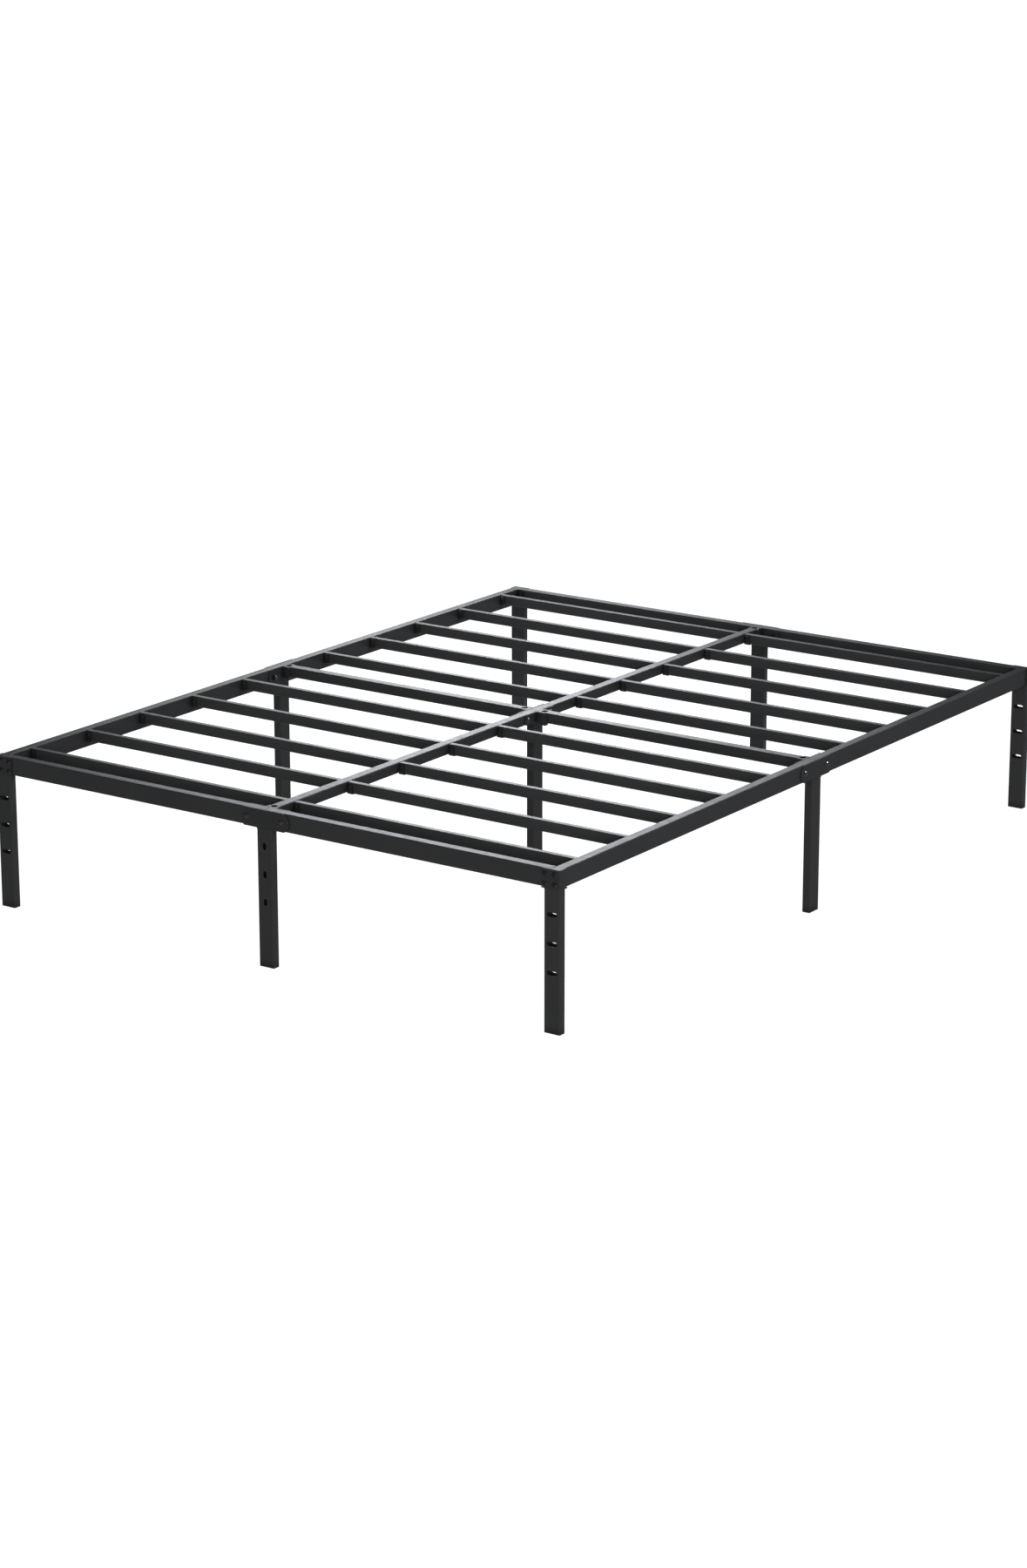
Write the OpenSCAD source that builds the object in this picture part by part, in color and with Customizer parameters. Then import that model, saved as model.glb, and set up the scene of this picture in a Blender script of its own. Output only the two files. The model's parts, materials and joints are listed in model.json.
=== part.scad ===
// Knock-down steel platform bed: folded sheet heads on nine tube legs carry bolted half rails,
// and loose tube slats drop into strap clips welded to the side rails and the centre rail.
// Origin at the middle of the floor footprint, X across the bed, Y from foot to head, Z up.

/* [Bed] */
// Overall width over the side heads
bed_w = 1537; // [1360:1:1940]
// Overall length over the end heads
bed_l = 2036; // [1880:1:2140]
// Height of the mattress support above the floor
bed_h = 355; // [300:1:460]

/* [Outer rails] */
// Width of the outer rail tube
rail_w = 23; // [18:0.5:30]
// Depth of the outer rail tube
rail_h = 41; // [38:0.5:50]
// Wall of the outer rail tube
rail_wall = 1.5; // [1:0.1:2.5]
// Corner radius of the outer rail tube
rail_r = 2; // [2:0.1:4]

/* [Inner rails] */
// Side of the square tube of the centre and cross rails
inner_rail = 25; // [22:0.5:32]
// Wall of the inner rail tube
inner_wall = 1.5; // [1:0.1:2.5]
// Corner radius of the inner rail tube
inner_r = 2.5; // [2:0.1:4]

/* [Slats] */
// Width of a slat tube
slat_w = 15; // [12:0.5:22]
// Depth of a slat tube
slat_h = 25; // [20:0.5:27]
// Wall of a slat tube
slat_wall = 1.2; // [0.8:0.1:2]
// Corner radius of a slat tube
slat_r = 2; // [1.5:0.1:3]
// How far the slat tops lie below the rail tops
slat_drop = 1; // [0.5:0.5:4]
// From the middle of the bed to the centre of the nearest slat
slat_first = 162; // [140:1:200]
// From the centre of the last slat to the end rail
slat_last = 71.5; // [50:0.5:110]

/* [Legs] */
// Broad side of the leg tube
leg_broad = 40; // [34:0.5:45]
// Narrow side of the leg tube
leg_narrow = 20; // [18:0.5:25]
// Wall of the leg tube
leg_wall = 1.5; // [1:0.1:2.5]
// Corner radius of the leg tube
leg_r = 3; // [2:0.1:4]
// Thickness of the cap under a leg
cap_t = 3; // [2:0.5:6]
// How far the cap reaches up inside the leg
cap_plug = 12; // [6:1:25]

/* [Heads] */
// Sheet thickness of the folded heads
head_t = 2; // [2:0.1:3.5]
// Inside radius of the folds
fold_r = 1; // [1:0.1:2]
// Distance between the two bolts of a straight head
head_pitch = 94; // [84:1:120]
// From the square end of a straight head to its nearest bolt
head_edge = 9.5; // [8.5:0.5:14]
// Width of the corner head on the end rail
corner_end_w = 45; // [44:0.5:60]
// Width of the corner head on the side rail
corner_side_w = 21; // [20:0.5:40]
// How far the seat under the rails stands out past the leg
seat_lip = 7; // [4:0.5:12]
// How far a wing of an outer head reaches along an inner rail
tie_len = 25; // [20:0.5:35]
// How far a wing of the centre head reaches along the cross rail
wing_len = 31; // [29:0.5:45]

/* [Slots] */
// Length of a headboard slot in a corner leg
slot_len = 26; // [20:0.5:28]
// Width of a headboard slot
slot_w = 9.5; // [6.5:0.1:10]
// Height of the lowest headboard slot
slot_low = 131.5; // [100:0.5:160]
// Step from slot to slot
slot_step = 63; // [45:0.5:70]
// Length of the upright slots in the middle legs at the two ends
upright_len = 15.5; // [12:0.5:20]
// Height of the lowest upright slot
upright_low = 147; // [100:0.5:170]

/* [Clips] */
// Thickness of the clip strap
clip_t = 2; // [1.5:0.1:3]
// Length of a clip along the slat
clip_len = 14; // [10:0.5:20]
// How far the clip stops below the top of the slat
clip_short = 3; // [1:0.5:5]
// From the top of the slat down to the clip screw
screw_down = 7.5; // [7:0.5:9]

/* [Fasteners] */
// Thread diameter of the frame bolts
bolt_d = 8; // [6:0.5:8]
// Head diameter of the frame bolts
bolt_head = 14; // [12:0.5:15]
// Head height of the frame bolts
bolt_head_h = 4.4; // [3:0.1:5]
// Diameter of the access holes over the tie bolts
access_d = 15; // [14.5:0.5:18]
// Diameter of the clip screws
screw_d = 4; // [3:0.1:4.5]
// Head diameter of the clip screws
screw_head = 8; // [6:0.1:9]

/* [Fits] */
// Play of a bolt or screw in its hole
bolt_play = 0.3; // [0.1:0.05:0.6]
// Play between a slat and its clip, each side
clip_play = 0.3; // [0.1:0.05:0.6]
// Gap where one rail ends against another piece
end_gap = 0.3; // [0.2:0.05:1]
// Gap where two half rails meet
butt_gap = 1; // [0.5:0.1:3]
// Play of the cap's plug inside the leg, each side
plug_play = 0.2; // [0.1:0.05:0.4]

/* [Hidden] */
$fn = 48;
slats_per_bay = 5;
SIDES = [["left", -1], ["right", 1]];
ENDS = [["front", -1], ["back", 1]];
SLAT_ROWS = [for (row = [1:2 * slats_per_bay]) row];

// Cutters run this far past what they cut
past = 1;
// Least corner radius inside a tube
least_r = 0.3;

// Outer faces of the heads, outer and inner faces of the outer rails
outer_x = bed_w / 2;
outer_y = bed_l / 2;
inner_x = outer_x - head_t - rail_w;
inner_y = outer_y - head_t - rail_w;

// Heights
rail_z = bed_h - rail_h;
seat_z = rail_z - head_t;
inner_z = bed_h - inner_rail;
inner_seat_z = inner_z - head_t;
slat_z = bed_h - slat_drop - slat_h;

// Straight heads: outer width over the cheeks, bolt positions along the rail
outer_cradle = rail_w + 2 * head_t;
inner_cradle = inner_rail + 2 * head_t;
bolt_s = head_pitch / 2;
hole_d = bolt_d + 2 * bolt_play;

// Corner bolts: one column on the side rail, one on the end rail, two rows
leaf_margin = 1;
low_margin = 0.5;
high_margin = 4.5;
corner_u1 = head_t + rail_w / 2;
corner_u2 = corner_end_w - bolt_head / 2 - leaf_margin;
corner_z_low = rail_z + bolt_head / 2 + low_margin;
corner_z_high = bed_h - bolt_head / 2 - high_margin;
// Threaded block in the end of a side rail, and how far its bolts reach past it
end_block = 6;
block_reach = 4;

// Tie bolts stand this far from the end of an inner rail, and in the wings of the centre head
// so much further out that the nut clears the trough of the centre rail
tie_inset = 9.5;
wing_clear = 4.3;
centre_tie = inner_cradle / 2 + end_gap + tie_inset + wing_clear;
cross_end = inner_x - head_t - end_gap;
centre_end = inner_y - head_t - end_gap;

// Nut, M8 size at the full thread diameter
nut_flats = 1.625 * bolt_d;
nut_h = 0.8 * bolt_d;
// Thread left standing out of a nut
tail = 1.5;
// Radial room between a thread and its nut
thread_play = 0.05;

// Hexagon socket of the frame bolts: width as a share of the thread, depth as a share of the head
key_share = 0.62;
key_depth = 0.6;

// Clip screws: head height, key, and how far they reach inside the slat
screw_head_h = 2.4;
screw_key = 2.5;
screw_reach = 3;

slat_pitch = (inner_y - slat_last - slat_first) / (slats_per_bay - 1);
function slat_y(row) = row <= slats_per_bay
    ? -slat_first - (slats_per_bay - row) * slat_pitch
    : slat_first + (row - slats_per_bay - 1) * slat_pitch;

black = "#2b2b2d";
steel = "#3a3b3e";
plastic = "#1d1d1e";

// ---- plane shapes -------------------------------------------------------------------------

module rounded_rect(w, h, r) {
    translate([-w / 2 + r, -h / 2]) square([w - 2 * r, h]);
    translate([-w / 2, -h / 2 + r]) square([w, h - 2 * r]);
    for (x = [-1, 1], y = [-1, 1])
        translate([x * (w / 2 - r), y * (h / 2 - r)]) circle(r);
}

// Wall section of a tube, centred
module tube_section(w, h, wall, r) {
    difference() {
        rounded_rect(w, h, r);
        rounded_rect(w - 2 * wall, h - 2 * wall, max(r - wall, least_r));
    }
}

// Trough open at the top: floor and two cheeks, folds rounded inside and out
module trough_section(w, h, t, r) {
    difference() {
        round_bottom(w, h, r + t);
        translate([0, t]) round_bottom(w - 2 * t, h, r);
    }
}

module round_bottom(w, h, r) {
    translate([-w / 2 + r, 0]) square([w - 2 * r, h]);
    translate([-w / 2, r]) square([w, h - r]);
    for (x = [-1, 1]) translate([x * (w / 2 - r), r]) circle(r);
}

module obround(len, w) {
    square([len - w, w], center = true);
    for (x = [-1, 1]) translate([x * (len - w) / 2, 0]) circle(w / 2);
}

// ---- placing ------------------------------------------------------------------------------

module flip(x = false, y = false) {
    if (x && y) rotate(180) children();
    else if (x) mirror([1, 0, 0]) children();
    else if (y) mirror([0, 1, 0]) children();
    else children();
}

// A corner piece is drawn with the outer corner at the origin and the bed in +X, +Y
module at_corner(sx, sy) {
    translate([sx * outer_x, sy * outer_y, 0]) flip(sx > 0, sy > 0) children();
}

// A middle piece is drawn with its rail along X and its outer face on Y = 0, the bed in +Y.
// The rounded end of the head points to +X on the ends of the bed and to the front on its sides.
module at_end_middle(sy) {
    translate([0, sy * outer_y, 0]) flip(false, sy > 0) children();
}
module at_side_middle(sx) {
    translate([sx * outer_x, 0, 0]) flip(sx > 0, false) rotate(-90) children();
}

// Profile in X and Z carried through the thickness y0 to y1
module through_y(y0, y1) {
    translate([0, y1, 0]) rotate([90, 0, 0]) linear_extrude(y1 - y0) children();
}
// Profile in Y and Z carried along X from x0 to x1
module along_x(x0, x1) {
    translate([x0, 0, 0]) rotate([90, 0, 90]) linear_extrude(x1 - x0) children();
}
// Profile in X and Z carried along Y from y0 to y1
module along_y(y0, y1) through_y(y0, y1) children();

module bore_x(x0, x1, d) translate([x0, 0, 0]) rotate([0, 90, 0]) cylinder(h = x1 - x0, d = d);
module bore_y(y0, y1, d) translate([0, y0, 0]) rotate([-90, 0, 0]) cylinder(h = y1 - y0, d = d);

// ---- rails --------------------------------------------------------------------------------

// Half of an end rail, from the side rail to the middle of the bed
module end_rail(sx, sy) {
    y_mid = sy * (inner_y + rail_w / 2);
    color(black) flip(sx < 0, false) difference() {
        translate([0, y_mid, rail_z + rail_h / 2])
            along_x(butt_gap / 2, inner_x - end_gap) tube_section(rail_w, rail_h, rail_wall, rail_r);
        for (z = [corner_z_low, corner_z_high])
            translate([outer_x - corner_u2, y_mid, z]) bore_y(-rail_w, rail_w, hole_d);
        translate([bolt_s, y_mid, rail_z + rail_h / 2]) bore_y(-rail_w, rail_w, hole_d);
    }
}

// Half of a side rail, with the threaded block that closes its corner end
module side_rail(sx, sy) {
    x_mid = sx * (inner_x + rail_w / 2);
    y_far = outer_y - head_t;
    color(black) flip(false, sy < 0) translate([x_mid, 0, 0]) difference() {
        union() {
            translate([0, 0, rail_z + rail_h / 2])
                along_y(butt_gap / 2, y_far) tube_section(rail_w, rail_h, rail_wall, rail_r);
            translate([0, 0, rail_z + rail_h / 2])
                along_y(y_far - end_block, y_far)
                    rounded_rect(rail_w - rail_wall, rail_h - rail_wall, rail_r - rail_wall / 2);
        }
        for (z = [corner_z_low, corner_z_high])
            translate([0, 0, z]) bore_y(y_far - 2 * end_block, y_far + past, bolt_d + bolt_play);
        translate([0, bolt_s, rail_z + rail_h / 2]) bore_x(-rail_w, rail_w, hole_d);
    }
}

// Bolt hole in the floor of an inner rail, under a wide access hole in its top
module tie_holes() {
    translate([0, 0, inner_z - past]) cylinder(h = inner_rail, d = hole_d);
    translate([0, 0, inner_z + inner_rail / 2]) cylinder(h = inner_rail, d = access_d);
}

module centre_rail(sy) {
    color(black) flip(false, sy < 0) difference() {
        translate([0, 0, inner_z + inner_rail / 2])
            along_y(butt_gap / 2, centre_end) tube_section(inner_rail, inner_rail, inner_wall, inner_r);
        translate([0, centre_end - tie_inset, 0]) tie_holes();
        translate([0, bolt_s, inner_z + inner_rail / 2]) bore_x(-inner_rail, inner_rail, hole_d);
    }
}

module cross_rail(sx) {
    color(black) flip(sx < 0, false) difference() {
        translate([0, 0, inner_z + inner_rail / 2])
            along_x(inner_cradle / 2 + end_gap, cross_end)
                tube_section(inner_rail, inner_rail, inner_wall, inner_r);
        for (x = [centre_tie, cross_end - tie_inset]) translate([x, 0, 0]) tie_holes();
    }
}

// ---- slats and clips ----------------------------------------------------------------------

// Clip screws enter the front wall of a slat at these distances from the middle of the bed
screw_x = [inner_rail / 2 + clip_len / 2, inner_x - clip_len / 2];
screw_z = slat_z + slat_h - screw_down;

module slat(sx, row) {
    color(black) flip(sx < 0, false) difference() {
        translate([0, slat_y(row), slat_z + slat_h / 2])
            along_x(inner_rail / 2 + end_gap, inner_x - end_gap)
                tube_section(slat_w, slat_h, slat_wall, slat_r);
        for (x = screw_x)
            translate([x, slat_y(row), screw_z]) bore_y(-slat_w, 0, screw_d + bolt_play);
    }
}

// Strap folded under the slat end; the screw goes through its front cheek
module clip() {
    clip_w = slat_w + 2 * (clip_play + clip_t);
    clip_h = slat_h + clip_t - clip_short;
    difference() {
        translate([0, 0, slat_z - clip_t])
            along_x(0, clip_len) trough_section(clip_w, clip_h, clip_t, slat_r);
        translate([clip_len / 2, 0, screw_z]) bore_y(-clip_w, 0, screw_d + bolt_play);
    }
}

// A row of clips standing out from the rail face at face_x, on the side that dir points to
module clip_row(face_x, dir) {
    color(black) for (row = SLAT_ROWS)
        translate([face_x, slat_y(row), 0]) flip(dir < 0, false) clip();
}

// ---- legs and caps ------------------------------------------------------------------------

// Leg tube with its broad side along X and its outer face on Y = 0
module leg_tube(top) {
    translate([0, leg_narrow / 2, cap_t])
        linear_extrude(top - cap_t) tube_section(leg_broad, leg_narrow, leg_wall, leg_r);
}

module corner_leg(sx, sy) {
    color(black) at_corner(sx, sy) translate([leg_broad / 2, 0, 0]) difference() {
        leg_tube(seat_z);
        for (i = [0:2])
            translate([0, 0, slot_low + i * slot_step])
                through_y(-past, leg_narrow + past) obround(slot_len, slot_w);
    }
}

// The middle legs at the two ends of the bed have three upright slots
module end_leg() {
    difference() {
        leg_tube(seat_z);
        for (i = [0:2])
            translate([0, 0, upright_low + i * slot_step])
                through_y(-past, leg_narrow + past) rotate(90) obround(upright_len, slot_w);
    }
}

module centre_leg() {
    color(black) rotate(-90) translate([0, -leg_narrow / 2, 0]) leg_tube(inner_seat_z);
}

// Cap under a leg, placed like the leg tube
module cap() {
    translate([0, leg_narrow / 2, 0]) {
        linear_extrude(cap_t) rounded_rect(leg_broad, leg_narrow, leg_r);
        inset = 2 * (leg_wall + plug_play);
        linear_extrude(cap_t + cap_plug)
            rounded_rect(leg_broad - inset, leg_narrow - inset, max(leg_r - leg_wall, least_r));
    }
}

module foot_caps() {
    color(plastic) {
        for (sx = [-1, 1], sy = [-1, 1]) at_corner(sx, sy) translate([leg_broad / 2, 0, 0]) cap();
        for (s = [-1, 1]) {
            at_end_middle(s) cap();
            at_side_middle(s) cap();
        }
        rotate(-90) translate([0, -leg_narrow / 2, 0]) cap();
    }
}

// ---- heads --------------------------------------------------------------------------------

// Folded sheet over the outside of a corner, with the seat that the two rails stand on
module corner_head(sx, sy) {
    color(black) at_corner(sx, sy) difference() {
        union() {
            translate([0, 0, seat_z]) linear_extrude(bed_h - seat_z) corner_fold();
            translate([0, 0, seat_z]) linear_extrude(head_t)
                square([leg_broad + seat_lip, leg_narrow + seat_lip]);
        }
        rounded_corner_cut();
        for (u = [corner_u1, corner_u2], z = [corner_z_low, corner_z_high])
            translate([u, 0, z]) bore_y(-past, head_t + past, hole_d);
    }
}

// Plan of the folded sheet: a leaf along X on the end rail and one along Y on the side rail
module corner_fold() {
    square([corner_end_w, head_t]);
    square([head_t, corner_side_w]);
}

// Takes the sharp upright edge off the fold
module rounded_corner_cut() {
    r = fold_r + head_t;
    translate([0, 0, seat_z - past]) linear_extrude(bed_h) difference() {
        translate([-past, -past]) square(r + past);
        translate([r, r]) circle(r);
    }
}

// Side view of a straight head: square at one end, a full round about the other bolt
module cheek_profile(h) {
    translate([-bolt_s - head_edge, 0]) square([2 * bolt_s + head_edge, h]);
    translate([bolt_s, h / 2]) circle(h / 2);
}

// Folded trough that holds two half rails end to end, one bolt through each
module cradle(w, base_z) {
    h = bed_h - base_z;
    reach = bolt_s + h;
    difference() {
        intersection() {
            translate([0, 0, base_z]) along_x(-reach, reach) trough_section(w, h, head_t, fold_r);
            translate([0, 0, base_z]) through_y(-w, w) cheek_profile(h);
        }
        for (s = [-1, 1])
            translate([s * bolt_s, 0, base_z + (h + head_t) / 2]) bore_y(-w, w, hole_d);
    }
}

// Head of a middle leg under an outer rail, with the wing for the end of the inner rail
module middle_head() {
    translate([0, outer_cradle / 2, 0]) cradle(outer_cradle, seat_z);
    translate([0, outer_cradle, 0]) rotate(90) wing(0, tie_len, tie_inset + end_gap);
}

// Round-ended trough that carries the end of an inner rail, drawn along +X from a cheek, with
// the hole for its tie bolt
module wing(start, reach, tie) {
    h = bed_h - inner_seat_z;
    round_x = start + reach - h / 2;
    difference() {
        translate([0, 0, inner_seat_z]) intersection() {
            along_x(start, start + reach) trough_section(inner_cradle, h, head_t, fold_r);
            through_y(-inner_cradle, inner_cradle) {
                square([round_x, h]);
                translate([round_x, h / 2]) circle(h / 2);
            }
        }
        translate([tie, 0, inner_seat_z - past]) cylinder(h = 3 * head_t, d = hole_d);
    }
}

module centre_head() {
    color(black) {
        rotate(-90) cradle(inner_cradle, inner_seat_z);
        for (side = [false, true]) flip(side, false) wing(inner_cradle / 2, wing_len, centre_tie);
    }
}

// ---- fasteners ----------------------------------------------------------------------------

// Low domed head with a hexagon socket, shank along +Z, seat of the head on Z = 0
module dome_screw(d, length, head_d, head_h, key) {
    dome_r = (head_h * head_h + head_d * head_d / 4) / (2 * head_h);
    difference() {
        union() {
            cylinder(h = length, d = d);
            mirror([0, 0, 1]) rotate_extrude() intersection() {
                translate([0, head_h - dome_r]) circle(dome_r);
                square([head_d / 2, head_h]);
            }
        }
        translate([0, 0, -head_h - past])
            cylinder(h = head_h * key_depth + past, d = key / cos(30), $fn = 6);
    }
}

module frame_bolt(length)
    dome_screw(bolt_d, length, bolt_head, bolt_head_h, bolt_d * key_share);

module nut() {
    difference() {
        cylinder(h = nut_h, d = nut_flats / cos(30), $fn = 6);
        translate([0, 0, -past]) cylinder(h = nut_h + 2 * past, d = bolt_d + 2 * thread_play);
    }
}

// Runs its children at each corner bolt column u on both rows, pointing into the bed
module each_corner_bolt(u) {
    for (sx = [-1, 1], sy = [-1, 1], z = [corner_z_low, corner_z_high])
        at_corner(sx, sy) translate([u, 0, z]) rotate([-90, 0, 0]) children();
}

// Runs its children at each bolt of the four outer middle heads, pointing into the bed
module each_head_bolt() {
    for (s = [-1, 1], b = [-1, 1]) {
        z = rail_z + rail_h / 2;
        at_end_middle(s) translate([b * bolt_s, 0, z]) rotate([-90, 0, 0]) children();
        at_side_middle(s) translate([b * bolt_s, 0, z]) rotate([-90, 0, 0]) children();
    }
}

// The two bolts of the centre head point to -X
module each_centre_bolt() {
    for (b = [-1, 1])
        translate([inner_cradle / 2, b * bolt_s, inner_z + inner_rail / 2])
            rotate([0, -90, 0]) children();
}

// Places of the upright tie bolts
TIES = concat(
    [for (s = [-1, 1]) [0, s * (centre_end - tie_inset)]],
    [for (s = [-1, 1]) [s * (cross_end - tie_inset), 0]],
    [for (s = [-1, 1]) [s * centre_tie, 0]]);

module corner_bolts() {
    color(steel) {
        each_corner_bolt(corner_u1) frame_bolt(head_t + end_block + block_reach);
        each_corner_bolt(corner_u2) frame_bolt(head_t + rail_w + nut_h + tail);
    }
}

module head_bolts() {
    color(steel) {
        each_head_bolt() frame_bolt(outer_cradle + nut_h + tail);
        each_centre_bolt() frame_bolt(inner_cradle + nut_h + tail);
    }
}

module tie_bolts() {
    color(steel) for (p = TIES)
        translate([p[0], p[1], inner_z + inner_wall]) rotate([180, 0, 0])
            frame_bolt(inner_wall + head_t + nut_h + tail);
}

module nuts() {
    color(steel) {
        each_corner_bolt(corner_u2) translate([0, 0, head_t + rail_w]) nut();
        each_head_bolt() translate([0, 0, outer_cradle]) nut();
        each_centre_bolt() translate([0, 0, inner_cradle]) nut();
        for (p = TIES) translate([p[0], p[1], inner_seat_z - nut_h]) nut();
    }
}

// Screws through the front cheeks of the clips into the slats
module clip_screws() {
    front = slat_w / 2 + clip_play + clip_t;
    color(steel) for (row = SLAT_ROWS, sx = [-1, 1], x = screw_x)
        translate([sx * x, slat_y(row) - front, screw_z]) rotate([-90, 0, 0])
            dome_screw(screw_d, clip_t + clip_play + slat_wall + screw_reach, screw_head,
                screw_head_h, screw_key);
}

// ---- the assembly -------------------------------------------------------------------------

for (e = ENDS, s = SIDES) {
    end_rail(s[1], e[1]);
    side_rail(s[1], e[1]);
    corner_leg(s[1], e[1]);
    corner_head(s[1], e[1]);
}
for (e = ENDS) {
    centre_rail(e[1]);
    color(black) at_end_middle(e[1]) end_leg();
    color(black) at_end_middle(e[1]) middle_head();
}
for (s = SIDES) {
    cross_rail(s[1]);
    color(black) at_side_middle(s[1]) leg_tube(seat_z);
    color(black) at_side_middle(s[1]) middle_head();
    for (row = SLAT_ROWS)
        slat(s[1], row);
}
centre_leg();  // leg_centre
centre_head();  // head_centre
clip_row(-inner_x, 1);  // clips_left_rail
clip_row(-inner_rail / 2, -1);  // clips_centre_left
clip_row(inner_rail / 2, 1);  // clips_centre_right
clip_row(inner_x, -1);  // clips_right_rail
corner_bolts();
head_bolts();
tie_bolts();
nuts();
clip_screws();
foot_caps();
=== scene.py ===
# %% [markdown]
# # A knock-down steel platform bed
#
# The frame is bolted together from black powder-coated tube and folded sheet. Nine legs carry
# folded heads, the heads hold half rails, and loose slats drop into strap clips. All of that
# is construction, so it comes ready made as named nodes. This lesson gives it its finishes,
# models the small parts whose beauty is in the detail (bolts, nuts, screws, weld beads), and
# then sets up the studio.

# %% Load the construction
import bpy
import json
import math
import numpy as np
from mathutils import Matrix, Vector


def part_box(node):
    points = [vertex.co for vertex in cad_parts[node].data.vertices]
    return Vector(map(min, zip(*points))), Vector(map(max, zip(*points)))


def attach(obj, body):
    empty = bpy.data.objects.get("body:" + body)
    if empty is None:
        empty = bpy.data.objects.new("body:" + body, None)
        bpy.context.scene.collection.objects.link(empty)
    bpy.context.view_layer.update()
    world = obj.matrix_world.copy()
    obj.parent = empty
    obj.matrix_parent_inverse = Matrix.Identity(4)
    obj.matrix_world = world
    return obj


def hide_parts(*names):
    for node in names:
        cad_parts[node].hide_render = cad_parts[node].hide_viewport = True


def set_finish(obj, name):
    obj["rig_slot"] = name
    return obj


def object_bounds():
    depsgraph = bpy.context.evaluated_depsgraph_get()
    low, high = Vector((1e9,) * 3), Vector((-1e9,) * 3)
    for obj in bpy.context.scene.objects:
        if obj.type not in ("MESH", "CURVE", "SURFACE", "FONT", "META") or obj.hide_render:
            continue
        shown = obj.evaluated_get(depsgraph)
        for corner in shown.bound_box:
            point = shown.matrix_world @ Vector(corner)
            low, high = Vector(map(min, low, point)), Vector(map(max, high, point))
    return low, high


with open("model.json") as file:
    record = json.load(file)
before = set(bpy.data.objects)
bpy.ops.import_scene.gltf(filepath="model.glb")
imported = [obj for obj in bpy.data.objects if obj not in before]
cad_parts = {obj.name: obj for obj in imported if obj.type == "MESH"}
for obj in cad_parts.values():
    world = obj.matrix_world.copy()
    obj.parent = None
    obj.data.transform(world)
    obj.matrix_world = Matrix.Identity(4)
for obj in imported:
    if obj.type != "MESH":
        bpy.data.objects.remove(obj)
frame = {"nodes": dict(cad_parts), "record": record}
nodes = frame["nodes"]
cad_box = [list(c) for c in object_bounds()]
lo, hi = (np.array(c) for c in cad_box)
print("nodes:", len(nodes), "  size in metres:", np.round(hi - lo, 4))

# %% [markdown]
# ## Finding each solid of a node
#
# A node such as corner_bolts holds many equal solids. To put a finer bolt in the place of each
# one we need its box. A mesh editor would pick the loose parts by hand. Here the triangles are
# sorted along one axis and cut wherever there is an empty gap, and each group is cut again
# along the next axis, until nothing more comes apart.

# %% Boxes of the separate solids
MM = 0.001
EMPTY_GAP = 0.4 * MM


def triangle_spans(node):
    """Lowest and highest corner of every triangle of a node, two arrays of n by 3."""
    mesh = nodes[node].data
    mesh.calc_loop_triangles()
    co = np.empty(len(mesh.vertices) * 3, np.float32)
    mesh.vertices.foreach_get("co", co)
    index = np.empty(len(mesh.loop_triangles) * 3, np.int32)
    mesh.loop_triangles.foreach_get("vertices", index)
    corners = co.reshape(-1, 3)[index].reshape(-1, 3, 3).astype(float)
    return corners.min(1), corners.max(1)


def part_boxes(low, high):
    """Groups of triangles parted by empty gaps, as a list of (lowest, highest) corners.

    Along one axis the triangles are ordered by their low ends. A new group starts where a low
    end lies beyond the furthest high end so far by more than EMPTY_GAP."""
    for axis in range(3):
        order = np.argsort(low[:, axis], kind="stable")
        reach = np.maximum.accumulate(high[order, axis])
        breaks = np.nonzero(low[order[1:], axis] > reach[:-1] + EMPTY_GAP)[0] + 1
        if len(breaks):
            groups = np.split(order, breaks)
            return [b for g in groups for b in part_boxes(low[g], high[g])]
    return [(low.min(0), high.max(0))]


def solids_of(node):
    """Boxes of the separate solids of a node, an array of n by 2 by 3."""
    return np.array(part_boxes(*triangle_spans(node)))


SETS = ("corner_bolts", "head_bolts", "tie_bolts", "nuts", "clip_screws")
solids = {name: solids_of(name) for name in SETS}
print({name: len(boxes) for name, boxes in solids.items()})

# %% [markdown]
# ## Turning arrays into meshes
#
# Every new piece below is worked out as one array of points on a grid: rings of points, one
# ring behind the other. Neighbouring rings are joined by four-sided faces, and the first and
# last rings are closed by a fan to a middle point. The same faces serve for one bolt or for
# forty, so a whole set of fasteners becomes a single mesh.

# %% Grid of rings to mesh
FRAME_BODY = "root"


def ring_faces(rings, around):
    """Quads between rings of points that close on themselves, plus a fan at both ends.

    Point (i, j) has index i * around + j; the two middle points of the fans come last."""
    i, j = np.meshgrid(np.arange(rings - 1), np.arange(around), indexing="ij")
    k = (j + 1) % around
    quads = np.stack([i * around + j, i * around + k,
                      (i + 1) * around + k, (i + 1) * around + j], -1).reshape(-1, 4)
    a = np.arange(around)
    b = (a + 1) % around
    first = np.stack([np.full(around, rings * around), b, a], -1)
    end = (rings - 1) * around
    last = np.stack([np.full(around, rings * around + 1), end + a, end + b], -1)
    return quads, np.concatenate([first, last])


def new_piece(name, points, faces, slot):
    """A smooth mesh that rides on the bed's one body and has its material slot."""
    mesh = bpy.data.meshes.new(name)
    mesh.from_pydata(points, [], faces)
    mesh.validate()
    mesh.shade_smooth()
    piece = bpy.data.objects.new(name, mesh)
    bpy.context.scene.collection.objects.link(piece)
    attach(piece, FRAME_BODY)
    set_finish(piece, slot)
    print(f"{name}: {len(mesh.vertices)} points, {len(mesh.polygons)} faces")
    return piece


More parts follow.
